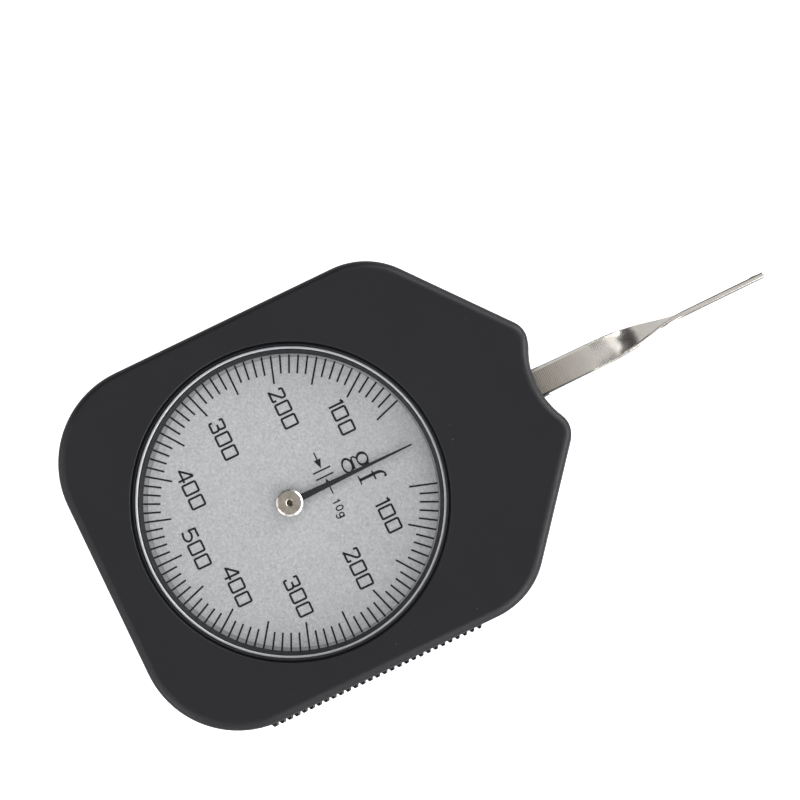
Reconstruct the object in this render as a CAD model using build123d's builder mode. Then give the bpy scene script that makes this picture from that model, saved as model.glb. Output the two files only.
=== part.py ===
from build123d import *
import math
import os

os.makedirs("parts", exist_ok=True)

# Dial tension gauge, millimetres.  Origin: on the flat back face, under the
# pointer's axis.  +Z is the way the dial faces, +Y the way the lever points.

# ---------------------------------------------------------------- dimensions
case_y = 0.28  # middle of the case's window, from the pointer's axis
half_width = 31.1  # case, side face from the centre line
bottom_y = case_y - 32.75  # case, end away from the lever
case_depth = 20.0
parting_z = 10.0  # where front and rear case meet
wall = 2.0
floor_t = 2.0

corner_r = 16.05  # bottom corners
shoulder_r = 12.9  # side to taper
tip_r = 3.68  # taper to notch
tip_x, tip_y = 8.1, case_y + 42.2
notch_r = 14.15
taper_deg = 39.08  # taper line below the X direction
front_edge_r = 1.5
back_edge_r = 1.0

rib_count = 29  # grip ribs on each side
rib_pitch = 1.318
rib_height = 0.5
rib_z0, rib_z1 = 1.6, 8.9

window_r = 25.85
crystal_r = 25.5
ring_r_in, ring_r_out = 24.78, 25.16
seat_r = 24.75
seat_z0, seat_z1 = 17.4, 18.3
crystal_z1 = 19.9

dial_z0, dial_z1 = 15.4, 15.9
dial_r = 25.85
dial_ring_r0, dial_ring_r1 = 24.05, 24.65

lever_y = 28.8  # lever pivot, from the pointer's axis
module = 0.3
pinion_teeth = 12
sector_teeth = 180  # of the whole circle
pressure_deg = 20.0

strip_t = 0.9  # feeler lever
strip_w = 4.56
strip_root_w = 4.72
strip_z0 = 10.2
strip_edge_r = 0.3  # rounding of the strip's edges
lever_end_y = 85.18

base_z0, base_z1 = 3.6, 4.8
bridge_z0, bridge_z1 = 13.4, 14.6

case_screw_xy = [(-22.5, -24.1), (22.5, -24.1), (-22.5, 27.5), (22.5, 27.5)]
base_screw_xy = [(-8.0, -14.0), (8.0, -14.0), (-13.0, 33.0), (13.0, 33.0)]
pillar_xy = [(-15.0, -8.0), (15.0, -8.0), (-14.0, 18.0), (14.0, 18.0)]
dial_foot_xy = [(-9.5, -9.0), (9.5, -9.0), (0.0, 20.0)]

slot_half = 6.9  # lever slot in the case wall
slot_z0, slot_z1 = 9.0, 12.4

# ---------------------------------------------------------------- case outline
tap = math.radians(taper_deg)
nx, ny = math.sin(tap), math.cos(tap)  # outward normal of the right taper
taper_d = nx * tip_x + ny * tip_y + tip_r
corner_c = (half_width - corner_r, bottom_y + corner_r)
shoulder_x = half_width - shoulder_r
shoulder_c = (shoulder_x, (taper_d - shoulder_r - nx * shoulder_x) / ny)
tip_c = (tip_x, tip_y)
notch_cy = tip_y + math.sqrt((notch_r + tip_r) ** 2 - tip_x**2)


def polar(c, r, deg):
    return (c[0] + r * math.cos(math.radians(deg)), c[1] + r * math.sin(math.radians(deg)))


def case_lines(d):
    """Closed case outline inset by d, added to the line being built."""
    rc, rs, rt, rn = corner_r - d, shoulder_r - d, tip_r - d, notch_r + d
    normal_deg = math.degrees(math.atan2(ny, nx))
    notch_deg = math.degrees(math.atan2(notch_cy - tip_y, -tip_x))
    down_deg = notch_deg - 180.0  # from the notch centre to the right tip

    def side(sign):
        flip = lambda p: (sign * p[0], p[1])
        ThreePointArc(
            flip(polar(corner_c, rc, -90)), flip(polar(corner_c, rc, -45)), flip(polar(corner_c, rc, 0))
        )
        Line(flip(polar(corner_c, rc, 0)), flip(polar(shoulder_c, rs, 0)))
        ThreePointArc(
            flip(polar(shoulder_c, rs, 0)),
            flip(polar(shoulder_c, rs, normal_deg / 2)),
            flip(polar(shoulder_c, rs, normal_deg)),
        )
        Line(flip(polar(shoulder_c, rs, normal_deg)), flip(polar(tip_c, rt, normal_deg)))
        ThreePointArc(
            flip(polar(tip_c, rt, normal_deg)),
            flip(polar(tip_c, rt, (normal_deg + notch_deg) / 2)),
            flip(polar(tip_c, rt, notch_deg)),
        )

    side(1)
    side(-1)
    Line((-corner_c[0], bottom_y + d), (corner_c[0], bottom_y + d))
    n0 = polar((0, notch_cy), rn, down_deg)
    ThreePointArc(n0, (0, notch_cy - rn), (-n0[0], n0[1]))


# ---------------------------------------------------------------- gear outlines
def involute_flank(rb, r0, r1, steps):
    """Radius and polar angle pairs along an involute, from r0 to r1."""
    out = []
    for i in range(steps + 1):
        r = r0 + (r1 - r0) * i / steps
        a = math.acos(min(1.0, rb / r))
        out.append((r, math.tan(a) - a))
    return out


def tooth_points(rp, ra, rf, half_thick, middle, steps=5):
    """Right root, flank, tip and left flank of one tooth centred on an angle."""
    rb = rp * math.cos(math.radians(pressure_deg))
    ap = math.acos(rb / rp)
    inv_p = math.tan(ap) - ap
    half = half_thick / rp
    flank = involute_flank(rb, max(rb, rf), ra, steps)
    right = [(r, middle - half - inv_p + inv) for r, inv in flank]
    left = [(r, middle + half + inv_p - inv) for r, inv in reversed(flank)]
    if rf < rb:
        right.insert(0, (rf, right[0][1]))
        left.append((rf, left[-1][1]))
    return right + left


pinion_rp = module * pinion_teeth / 2
sector_rp = module * sector_teeth / 2
tooth_half = module * math.pi / 4 - 0.03  # half thickness, with running backlash
pinion_pts = []
for i in range(pinion_teeth):
    # a gap of the pinion faces +Y, where the sector's middle tooth comes in
    mid = math.pi / 2 + (i + 0.5) * 2 * math.pi / pinion_teeth
    for r, a in tooth_points(pinion_rp, pinion_rp + 0.27, pinion_rp - 0.35, tooth_half, mid):
        pinion_pts.append((r * math.cos(a), r * math.sin(a)))

sector_side = 9  # teeth each side of the middle one
sector_pts = []
for i in range(-sector_side, sector_side + 1):
    mid = -math.pi / 2 + i * 2 * math.pi / sector_teeth
    for r, a in tooth_points(sector_rp, sector_rp + 0.18, sector_rp - 0.37, tooth_half, mid, 3):
        sector_pts.append((r * math.cos(a), lever_y + r * math.sin(a)))


def half_turn(c, r, t, a0):
    """Closed outline of one half turn of flat spring wire, added to the line."""
    ThreePointArc(polar(c, r + t / 2, a0), polar(c, r + t / 2, a0 + 90), polar(c, r + t / 2, a0 + 180))
    ThreePointArc(polar(c, r - t / 2, a0), polar(c, r - t / 2, a0 + 90), polar(c, r - t / 2, a0 + 180))
    Line(polar(c, r - t / 2, a0), polar(c, r + t / 2, a0))
    Line(polar(c, r - t / 2, a0 + 180), polar(c, r + t / 2, a0 + 180))


# ================================================================ case
with BuildPart() as rear_case:
    with BuildSketch(Plane.XY):
        with BuildLine():
            case_lines(0)
        make_face()
    extrude(amount=parting_z)
    fillet(rear_case.edges().group_by(Axis.Z)[0], back_edge_r)
    with BuildSketch(Plane.XY.offset(floor_t)):
        with BuildLine():
            case_lines(wall)
        make_face()
    extrude(amount=parting_z - floor_t, mode=Mode.SUBTRACT)
    # grip ribs along both sides
    with BuildSketch(Plane.XY.offset(rib_z0)):
        for s in (1, -1):
            with Locations((s * (half_width - 0.2), case_y)):
                with GridLocations(0, rib_pitch, 1, rib_count):
                    Polygon(
                        (0, -0.42), (s * 0.2, -0.42), (s * (0.2 + rib_height), -0.17),
                        (s * (0.2 + rib_height), 0.17), (s * 0.2, 0.42), (0, 0.42),
                        align=None,
                    )
    extrude(amount=rib_z1 - rib_z0)
    # bosses for the case screws and posts for the movement
    with BuildSketch(Plane.XY.offset(floor_t - 0.5)):
        with Locations(*case_screw_xy):
            Circle(3.4)
    extrude(amount=parting_z - floor_t + 0.5)
    with BuildSketch(Plane.XY.offset(floor_t - 0.5)):
        with Locations(*base_screw_xy):
            Circle(2.4)
    extrude(amount=base_z0 - floor_t + 0.5)
    with BuildSketch(Plane.XY):
        with Locations(*case_screw_xy):
            Circle(2.5)
    extrude(amount=2.6, mode=Mode.SUBTRACT)
    with BuildSketch(Plane.XY):
        with Locations(*case_screw_xy):
            Circle(1.4)
    extrude(amount=parting_z, mode=Mode.SUBTRACT)
    with BuildSketch(Plane.XY.offset(1.0)):
        with Locations(*base_screw_xy):
            Circle(0.92)
    extrude(amount=base_z0 - 1.0, mode=Mode.SUBTRACT)
    # lower half of the lever slot
    with BuildSketch(Plane.XY.offset(slot_z0)):
        with Locations((0, 43.0)):
            Rectangle(2 * slot_half, 8.0)
    extrude(amount=parting_z - slot_z0, mode=Mode.SUBTRACT)
rear_case.part.label = "rear_case"
export_step(rear_case.part, "parts/rear_case.step")

with BuildPart() as front_case:
    with BuildSketch(Plane.XY.offset(parting_z)):
        with BuildLine():
            case_lines(0)
        make_face()
    extrude(amount=case_depth - parting_z)
    fillet(front_case.edges().group_by(Axis.Z)[-1], front_edge_r)
    with BuildSketch(Plane.XY.offset(parting_z)):
        with BuildLine():
            case_lines(wall)
        make_face()
    extrude(amount=seat_z0 - parting_z, mode=Mode.SUBTRACT)
    # collar that holds the dial and its ring
    with BuildSketch(Plane.XY.offset(14.9)):
        with Locations((0, case_y)):
            Circle(dial_r + 1.0)
            Circle(dial_r + 0.05, mode=Mode.SUBTRACT)
    extrude(amount=seat_z0 - 14.9 + 0.2)
    with BuildSketch(Plane.XY.offset(parting_z)):
        with Locations(*case_screw_xy):
            Circle(2.9)
    extrude(amount=seat_z0 - parting_z + 0.2)
    # locating lip that drops inside the rear case
    with BuildSketch(Plane.XY.offset(8.8)):
        with BuildLine():
            case_lines(wall + 0.08)
        make_face()
        with BuildLine():
            case_lines(wall + 1.0)
        make_face(mode=Mode.SUBTRACT)
        with Locations(*case_screw_xy):
            Circle(3.6, mode=Mode.SUBTRACT)
    extrude(amount=parting_z - 8.8)
    with BuildSketch(Plane.XY.offset(parting_z)):
        with BuildLine():
            case_lines(wall - 0.2)
        make_face()
        with BuildLine():
            case_lines(wall + 1.0)
        make_face(mode=Mode.SUBTRACT)
    extrude(amount=1.5)
    # lever slot, through wall and lip
    with BuildSketch(Plane.XY.offset(8.0)):
        with Locations((0, 42.0)):
            Rectangle(2 * slot_half, 10.0)
    extrude(amount=slot_z1 - 8.0, mode=Mode.SUBTRACT)
    # window: opening, and the seat of the crystal
    with BuildSketch(Plane.XY.offset(seat_z1)):
        with Locations((0, case_y)):
            Circle(window_r)
    extrude(amount=case_depth - seat_z1, mode=Mode.SUBTRACT)
    with BuildSketch(Plane.XY.offset(seat_z0 - 0.1)):
        with Locations((0, case_y)):
            Circle(seat_r)
    extrude(amount=case_depth - seat_z0 + 0.1, mode=Mode.SUBTRACT)
    with BuildSketch(Plane.XY.offset(parting_z)):
        with Locations(*case_screw_xy):
            Circle(1.27)
    extrude(amount=6.5, mode=Mode.SUBTRACT)
    # small break of the window's edge
    fillet(
        front_case.edges().filter_by(GeomType.CIRCLE).group_by(Axis.Z)[-1].filter_by(
            lambda e: abs(e.radius - window_r) < 0.01
        ),
        0.22,
    )
front_case.part.label = "front_case"
export_step(front_case.part, "parts/front_case.step")

with BuildPart() as case_screws:
    for x, y in case_screw_xy:
        with BuildSketch(Plane.XY.offset(0.6)):
            with Locations((x, y)):
                Circle(2.2)
        extrude(amount=2.0)
    fillet(case_screws.edges().group_by(Axis.Z)[0], 0.7)
    with BuildSketch(Plane.XY.offset(0.5)):
        with Locations(*case_screw_xy):
            Rectangle(2.6, 0.55)
            Rectangle(0.55, 2.6)
    extrude(amount=1.1, mode=Mode.SUBTRACT)
    with BuildSketch(Plane.XY.offset(2.6)):
        with Locations(*case_screw_xy):
            Circle(1.25)
    extrude(amount=13.0)
    chamfer(case_screws.edges().group_by(Axis.Z)[-1], 0.4)
case_screws.part.label = "case_screws"
export_step(case_screws.part, "parts/case_screws.step")

# ================================================================ window
window_section = Plane(origin=(0, case_y, 0), x_dir=(1, 0, 0), z_dir=(0, -1, 0))
window_axis = Axis((0, case_y, 0), (0, 0, 1))

with BuildPart() as crystal:
    with BuildSketch(window_section):
        with BuildLine():
            Polyline(
                (0, 18.9), (ring_r_out + 0.02, 18.9), (ring_r_out + 0.02, seat_z1),
                (crystal_r, seat_z1), (crystal_r, crystal_z1 - 0.3),
                (crystal_r - 0.3, crystal_z1), (0, crystal_z1), close=True,
            )
        make_face()
    revolve(axis=window_axis)
crystal.part.label = "crystal"
export_step(crystal.part, "parts/crystal.step")

with BuildPart() as crystal_ring:
    with BuildSketch(window_section):
        with BuildLine():
            Polyline(
                (ring_r_in, seat_z1), (ring_r_out, seat_z1), (ring_r_out, 18.8),
                (ring_r_out - 0.08, 18.88), (ring_r_in + 0.08, 18.88), (ring_r_in, 18.8), close=True,
            )
        make_face()
    revolve(axis=window_axis)
crystal_ring.part.label = "crystal_ring"
export_step(crystal_ring.part, "parts/crystal_ring.step")

with BuildPart() as dial_ring:
    with BuildSketch(window_section):
        with BuildLine():
            Polyline(
                (dial_ring_r0, dial_z1), (dial_r, dial_z1), (dial_r, seat_z0),
                (dial_ring_r1, seat_z0), (dial_ring_r0, dial_z1 + 0.15), close=True,
            )
        make_face()
    revolve(axis=window_axis)
dial_ring.part.label = "dial_ring"
export_step(dial_ring.part, "parts/dial_ring.step")

# ================================================================ dial
with BuildPart() as dial_plate:
    with BuildSketch(Plane.XY.offset(dial_z0)):
        with Locations((0, case_y)):
            Circle(dial_r)
        Circle(1.5, mode=Mode.SUBTRACT)
    extrude(amount=dial_z1 - dial_z0)
dial_plate.part.label = "dial_plate"
export_step(dial_plate.part, "parts/dial_plate.step")

with BuildPart() as dial_feet:
    with BuildSketch(Plane.XY.offset(bridge_z1)):
        with Locations(*dial_foot_xy):
            Circle(1.1)
    extrude(amount=dial_z0 - bridge_z1)
    with BuildSketch(Plane.XY.offset(bridge_z0)):
        with Locations(*dial_foot_xy):
            Circle(0.6)
    extrude(amount=bridge_z1 - bridge_z0)
dial_feet.part.label = "dial_feet"
export_step(dial_feet.part, "parts/dial_feet.step")

# ================================================================ movement frame
base_outline = [(-11, -17), (11, -17), (19, -9), (19, 26), (16, 36.4), (-16, 36.4), (-19, 26), (-19, -9)]
bridge_outline = [(-9, -13.5), (9, -13.5), (18.5, -10.5), (18.5, 25), (8, 34), (-8, 34), (-18.5, 25), (-18.5, -10.5)]
force_stud = (7.33, 30.6)
hair_stud = (4.32, 1.1)
pin_r, pin_deg = 20.0, 36.9
stop_xy = [
    (s * pin_r * math.sin(math.radians(pin_deg)), lever_y - pin_r * math.cos(math.radians(pin_deg)))
    for s in (-1, 1)
]

with BuildPart() as base_plate:
    with BuildSketch(Plane.XY.offset(base_z0)):
        with BuildLine():
            Polyline(*base_outline, close=True)
        make_face()
        # cut-outs that lighten the plate
        for s in (-1, 1):
            with Locations((s * 9.5, 1.5)):
                Ellipse(4.2, 6.5, mode=Mode.SUBTRACT)
    extrude(amount=base_z1 - base_z0)
    fillet(
        base_plate.edges().filter_by(Axis.Z).filter_by(
            lambda e: abs(e.center().X) > 10.5 and (abs(e.center().Y) > 8 or abs(e.center().X) > 18)
        ),
        2.0,
    )
    with BuildSketch(Plane.XY.offset(base_z0)):
        Circle(1.4)
        with Locations((0, lever_y)):
            Circle(1.8)
        with Locations(*pillar_xy):
            Circle(1.2)
        with Locations(*base_screw_xy):
            Circle(1.1)
        with Locations(*stop_xy):
            Circle(1.0)
        with Locations(force_stud):
            Circle(1.0)
        with Locations(hair_stud):
            Circle(0.38)
    extrude(amount=base_z1 - base_z0, mode=Mode.SUBTRACT)
base_plate.part.label = "base_plate"
export_step(base_plate.part, "parts/base_plate.step")

with BuildPart() as bridge_plate:
    with BuildSketch(Plane.XY.offset(bridge_z0)):
        with BuildLine():
            Polyline(*bridge_outline, close=True)
        make_face()
        for s in (-1, 1):
            with Locations((s * 8.6, 9.0)):
                Ellipse(4.6, 8.0, mode=Mode.SUBTRACT)
    extrude(amount=bridge_z1 - bridge_z0)
    fillet(bridge_plate.edges().filter_by(Axis.Z).filter_by(lambda e: abs(e.center().X) > 17), 2.0)
    with BuildSketch(Plane.XY.offset(bridge_z0)):
        Circle(1.4)
        with Locations((0, lever_y)):
            Circle(1.8)
        with Locations(*pillar_xy):
            Circle(0.95)
        with Locations(*dial_foot_xy):
            Circle(0.6)
    extrude(amount=bridge_z1 - bridge_z0, mode=Mode.SUBTRACT)
bridge_plate.part.label = "bridge_plate"
export_step(bridge_plate.part, "parts/bridge_plate.step")

with BuildPart() as pillars:
    with BuildSketch(Plane.XY.offset(base_z0)):
        with Locations(*pillar_xy):
            Circle(1.2)
    extrude(amount=base_z1 - base_z0)
    with BuildSketch(Plane.XY.offset(base_z1)):
        with Locations(*pillar_xy):
            Circle(2.0)
    extrude(amount=bridge_z0 - base_z1)
    with BuildSketch(Plane.XY.offset(8.6)):
        with Locations(*pillar_xy):
            Circle(0.82)
    extrude(amount=bridge_z0 - 8.6, mode=Mode.SUBTRACT)
pillars.part.label = "pillars"
export_step(pillars.part, "parts/pillars.step")


with BuildPart() as bridge_screws:
    with BuildSketch(Plane.XY.offset(bridge_z1)):
        with Locations(*pillar_xy):
            Circle(1.6)
    extrude(amount=0.7)
    chamfer(bridge_screws.edges().group_by(Axis.Z)[-1], 0.15)
    with BuildSketch(Plane.XY.offset(bridge_z1 + 0.35)):
        with Locations(*pillar_xy):
            Rectangle(3.4, 0.4)
    extrude(amount=0.5, mode=Mode.SUBTRACT)
    with BuildSketch(Plane.XY.offset(9.4)):
        with Locations(*pillar_xy):
            Circle(0.8)
    extrude(amount=bridge_z1 - 9.4)
bridge_screws.part.label = "bridge_screws"
export_step(bridge_screws.part, "parts/bridge_screws.step")

with BuildPart() as base_screws:
    with BuildSketch(Plane.XY.offset(base_z1)):
        with Locations(*base_screw_xy):
            Circle(1.8)
    extrude(amount=1.0)
    chamfer(base_screws.edges().group_by(Axis.Z)[-1], 0.2)
    with BuildSketch(Plane.XY.offset(base_z1 + 0.5)):
        with Locations(*base_screw_xy):
            Rectangle(3.8, 0.45)
    extrude(amount=0.7, mode=Mode.SUBTRACT)
    with BuildSketch(Plane.XY.offset(1.3)):
        with Locations(*base_screw_xy):
            Circle(0.9)
    extrude(amount=base_z1 - 1.3)
base_screws.part.label = "base_screws"
export_step(base_screws.part, "parts/base_screws.step")

with BuildPart() as stop_pins:
    with BuildSketch(Plane.XY.offset(base_z0)):
        with Locations(*stop_xy):
            Circle(1.0)
    extrude(amount=9.9 - base_z0)
    chamfer(stop_pins.edges().group_by(Axis.Z)[-1], 0.2)
stop_pins.part.label = "stop_pins"
export_step(stop_pins.part, "parts/stop_pins.step")


# flanged bushes: one pair carries the lever arbor, the other the pointer arbor
with BuildPart() as lever_bushes:
    with BuildSketch(Plane.XY.offset(base_z0)):
        with Locations((0, lever_y)):
            Circle(1.8)
            Circle(0.83, mode=Mode.SUBTRACT)
    extrude(amount=base_z1 - base_z0)
    with BuildSketch(Plane.XY.offset(base_z1)):
        with Locations((0, lever_y)):
            Circle(2.6)
            Circle(0.83, mode=Mode.SUBTRACT)
    extrude(amount=0.3)
    with BuildSketch(Plane.XY.offset(bridge_z0 - 0.3)):
        with Locations((0, lever_y)):
            Circle(2.6)
            Circle(0.83, mode=Mode.SUBTRACT)
    extrude(amount=0.3)
    with BuildSketch(Plane.XY.offset(bridge_z0)):
        with Locations((0, lever_y)):
            Circle(1.8)
            Circle(0.83, mode=Mode.SUBTRACT)
    extrude(amount=bridge_z1 - bridge_z0)
lever_bushes.part.label = "lever_bushes"
export_step(lever_bushes.part, "parts/lever_bushes.step")

with BuildPart() as pointer_bushes:
    with BuildSketch(Plane.XY.offset(base_z0)):
        Circle(1.4)
        Circle(0.43, mode=Mode.SUBTRACT)
    extrude(amount=base_z1 - base_z0)
    with BuildSketch(Plane.XY.offset(base_z1)):
        Circle(2.0)
        Circle(0.43, mode=Mode.SUBTRACT)
    extrude(amount=0.3)
    with BuildSketch(Plane.XY.offset(bridge_z0 - 0.3)):
        Circle(2.0)
        Circle(0.63, mode=Mode.SUBTRACT)
    extrude(amount=0.3)
    with BuildSketch(Plane.XY.offset(bridge_z0)):
        Circle(1.4)
        Circle(0.63, mode=Mode.SUBTRACT)
    extrude(amount=bridge_z1 - bridge_z0)
pointer_bushes.part.label = "pointer_bushes"
export_step(pointer_bushes.part, "parts/pointer_bushes.step")

# ================================================================ springs
spring_z0, spring_z1 = 5.4, 7.4
force_t, force_h = 1.15, 0.9
with BuildPart() as force_spring:
    with BuildSketch(Plane.XY.offset(spring_z0)):
        for k in range(4):
            with BuildLine():
                half_turn((force_h * (k % 2), lever_y), 3.73 + k * force_h, force_t, 180 * (k % 2))
            make_face()
        with Locations((7.33, lever_y + 0.3)):
            Rectangle(force_t, 0.6)
    extrude(amount=spring_z1 - spring_z0)
force_spring.part.label = "force_spring"
export_step(force_spring.part, "parts/force_spring.step")

with BuildPart() as force_spring_stud:
    with BuildSketch(Plane.XY.offset(base_z1)):
        with Locations((force_stud[0], lever_y + 0.6 + 1.2)):
            Rectangle(2.0, 2.4)
    extrude(amount=7.6 - base_z1)
    chamfer(force_spring_stud.edges().filter_by(Axis.Z), 0.3)
    with BuildSketch(Plane.XY.offset(base_z0)):
        with Locations(force_stud):
            Circle(1.0)
    extrude(amount=base_z1 - base_z0)
force_spring_stud.part.label = "force_spring_stud"
export_step(force_spring_stud.part, "parts/force_spring_stud.step")

hair_t, hair_h = 0.12, 0.25
with BuildPart() as hairspring:
    with BuildSketch(Plane.XY.offset(5.9)):
        for k in range(10):
            with BuildLine():
                half_turn((hair_h * (k % 2), 0), 1.82 + k * hair_h, hair_t, 180 * (k % 2))
            make_face()
        with Locations((4.32, 0.25)):
            Rectangle(hair_t, 0.5)
    extrude(amount=0.4)
hairspring.part.label = "hairspring"
export_step(hairspring.part, "parts/hairspring.step")

with BuildPart() as hairspring_stud:
    with BuildSketch(Plane.XY.offset(base_z1)):
        with Locations(hair_stud):
            Rectangle(0.8, 1.2)
    extrude(amount=6.7 - base_z1)
    with BuildSketch(Plane.XY.offset(base_z0)):
        with Locations(hair_stud):
            Circle(0.38)
    extrude(amount=base_z1 - base_z0)
hairspring_stud.part.label = "hairspring_stud"
export_step(hairspring_stud.part, "parts/hairspring_stud.step")

# ================================================================ pointer train
with BuildPart() as pointer_arbor:
    with BuildSketch(Plane.XZ):
        with BuildLine():
            Polyline(
                (0, 3.65), (0.4, 3.65), (0.4, 5.15), (0.9, 5.15), (0.9, 13.05), (0.6, 13.05),
                (0.6, 16.4), (0.45, 16.6), (0.45, 17.45), (0.35, 17.55), (0, 17.55), close=True,
            )
        make_face()
    revolve(axis=Axis.Z)
pointer_arbor.part.label = "pointer_arbor"
export_step(pointer_arbor.part, "parts/pointer_arbor.step")

with BuildPart() as pinion:
    with BuildSketch(Plane.XY.offset(8.0)):
        with BuildLine():
            Polyline(*pinion_pts, close=True)
        make_face()
        Circle(0.9, mode=Mode.SUBTRACT)
    extrude(amount=1.8)
pinion.part.label = "pinion"
export_step(pinion.part, "parts/pinion.step")

with BuildPart() as hairspring_collet:
    with BuildSketch(Plane.XY.offset(5.6)):
        Circle(1.6)
        Circle(0.9, mode=Mode.SUBTRACT)
        with Locations((0, -1.3)):
            Rectangle(0.2, 1.0, mode=Mode.SUBTRACT)
    extrude(amount=1.0)
hairspring_collet.part.label = "hairspring_collet"
export_step(hairspring_collet.part, "parts/hairspring_collet.step")

hub_r = 2.18
with BuildPart() as pointer_hub:
    with BuildSketch(Plane.XZ):
        with BuildLine():
            Polyline(
                (0.6, 16.25), (1.3, 16.25), (1.3, 16.8), (hub_r, 16.8), (hub_r, 17.38),
                (hub_r - 0.28, 17.62), (0.62, 17.62), (0.45, 17.47), (0.45, 16.6), (0.6, 16.4), close=True,
            )
        make_face()
    revolve(axis=Axis.Z)
pointer_hub.part.label = "pointer_hub"
export_step(pointer_hub.part, "parts/pointer_hub.step")

pointer_len = 21.9
with BuildPart() as pointer:
    with BuildSketch(Plane.XY.offset(16.6)):
        Circle(1.95)
        with BuildLine():
            Polyline(
                (-0.58, 0), (-0.55, 2.4), (-0.32, 11.0), (-0.13, pointer_len - 0.12), (0, pointer_len),
                (0.13, pointer_len - 0.12), (0.32, 11.0), (0.55, 2.4), (0.58, 0), close=True,
            )
        make_face()
        Circle(1.3, mode=Mode.SUBTRACT)
    extrude(amount=0.2)
pointer.part.label = "pointer"
export_step(pointer.part, "parts/pointer.step")

# ================================================================ lever train
with BuildPart() as lever_arbor:
    with BuildSketch(Plane.XZ.offset(-lever_y)):
        with BuildLine():
            Polyline(
                (0, 3.65), (0.8, 3.65), (0.8, 5.15), (1.5, 5.15), (1.5, 13.05), (0.8, 13.05),
                (0.8, 14.45), (0.7, 14.55), (0, 14.55), close=True,
            )
        make_face()
    revolve(axis=Axis((0, lever_y, 0), (0, 0, 1)))
lever_arbor.part.label = "lever_arbor"
export_step(lever_arbor.part, "parts/lever_arbor.step")

with BuildPart() as force_spring_collet:
    with BuildSketch(Plane.XY.offset(5.25)):
        with Locations((0, lever_y)):
            Circle(3.0)
            Circle(1.5, mode=Mode.SUBTRACT)
    extrude(amount=2.25)
force_spring_collet.part.label = "force_spring_collet"
export_step(force_spring_collet.part, "parts/force_spring_collet.step")

# toothed sector: rim, two arms and a hub round the arbor
rim_in = 24.4
edge_deg = (sector_side + 0.75) * 360.0 / sector_teeth
root_r = sector_rp - 0.37
c_lever = (0, lever_y)
rim_r0 = polar(c_lever, root_r, -90 + edge_deg)
rim_l0 = polar(c_lever, root_r, -90 - edge_deg)
in_r0 = polar(c_lever, rim_in, -90 + edge_deg)
in_l0 = polar(c_lever, rim_in, -90 - edge_deg)
sector_screw_xy = [(-3.0, lever_y - 3.4), (3.0, lever_y - 3.4)]
with BuildPart() as sector_gear:
    with BuildSketch(Plane.XY.offset(8.4)):
        with BuildLine():
            Polyline(rim_l0, *sector_pts, rim_r0)
            Line(rim_r0, in_r0)
            ThreePointArc(in_r0, (0, lever_y - rim_in), in_l0)
            Line(in_l0, rim_l0)
        make_face()
        for s in (-1, 1):
            a = polar(c_lever, rim_in + 1.2, -90 + s * (edge_deg - 0.4))
            b = polar(c_lever, rim_in + 1.2, -90 + s * (edge_deg - 7.0))
            with BuildLine():
                Polyline((s * 4.6, lever_y - 2.2), a, b, (s * 1.6, lever_y - 5.0), close=True)
            make_face()
        with Locations(c_lever):
            Circle(5.8)
            Circle(1.5, mode=Mode.SUBTRACT)
        with Locations(*sector_screw_xy):
            Circle(0.7, mode=Mode.SUBTRACT)
    extrude(amount=1.0)
sector_gear.part.label = "sector_gear"
export_step(sector_gear.part, "parts/sector_gear.step")

with BuildPart() as sector_screws:
    with BuildSketch(Plane.XY.offset(7.6)):
        with Locations(*sector_screw_xy):
            Circle(1.25)
    extrude(amount=0.8)
    with BuildSketch(Plane.XY.offset(7.5)):
        with Locations(*sector_screw_xy):
            Rectangle(2.7, 0.35)
    extrude(amount=0.45, mode=Mode.SUBTRACT)
    with BuildSketch(Plane.XY.offset(8.4)):
        with Locations(*sector_screw_xy):
            Circle(0.7)
    extrude(amount=1.8)
sector_screws.part.label = "sector_screws"
export_step(sector_screws.part, "parts/sector_screws.step")

strip_z1 = strip_z0 + strip_t
strip_root_x = -0.32  # the hand-formed strip runs a little to the left
clamp_screw_y = [34.9, 38.4]
with BuildPart() as lever_holder:
    with BuildSketch(Plane.XY.offset(9.4)):
        with Locations(c_lever):
            Circle(5.8)
        with Locations((strip_root_x, (lever_y + 40.5) / 2)):
            Rectangle(8.0, 40.5 - lever_y)
        with Locations((strip_root_x + 0.1, (40.5 + 45.5) / 2)):
            Rectangle(5.0, 45.5 - 40.5)
    extrude(amount=strip_z0 - 9.4)
    with BuildSketch(Plane.XY.offset(strip_z0)):
        with Locations(c_lever):
            Circle(4.0)
    extrude(amount=1.8)
    with BuildSketch(Plane.XY.offset(strip_z0)):
        for s in (-1, 1):
            with Locations((strip_root_x + s * (strip_root_w / 2 + 0.8), 36.6)):
                Rectangle(1.55, 7.8)
    extrude(amount=strip_t)
    with BuildSketch(Plane.XY.offset(9.4)):
        with Locations(c_lever):
            Circle(1.5)
        with Locations(*sector_screw_xy):
            Circle(0.7)
        with Locations(*[(0, y) for y in clamp_screw_y]):
            Circle(0.8)
    extrude(amount=3.0, mode=Mode.SUBTRACT)
lever_holder.part.label = "lever_holder"
export_step(lever_holder.part, "parts/lever_holder.step")

with BuildPart() as lever_clamp:
    with BuildSketch(Plane.XY.offset(strip_z1)):
        with Locations((strip_root_x, 36.75)):
            RectangleRounded(7.9, 7.5, 0.8)
        with Locations(*[(0, y) for y in clamp_screw_y]):
            Circle(0.8, mode=Mode.SUBTRACT)
    extrude(amount=0.8)
lever_clamp.part.label = "lever_clamp"
export_step(lever_clamp.part, "parts/lever_clamp.step")

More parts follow.
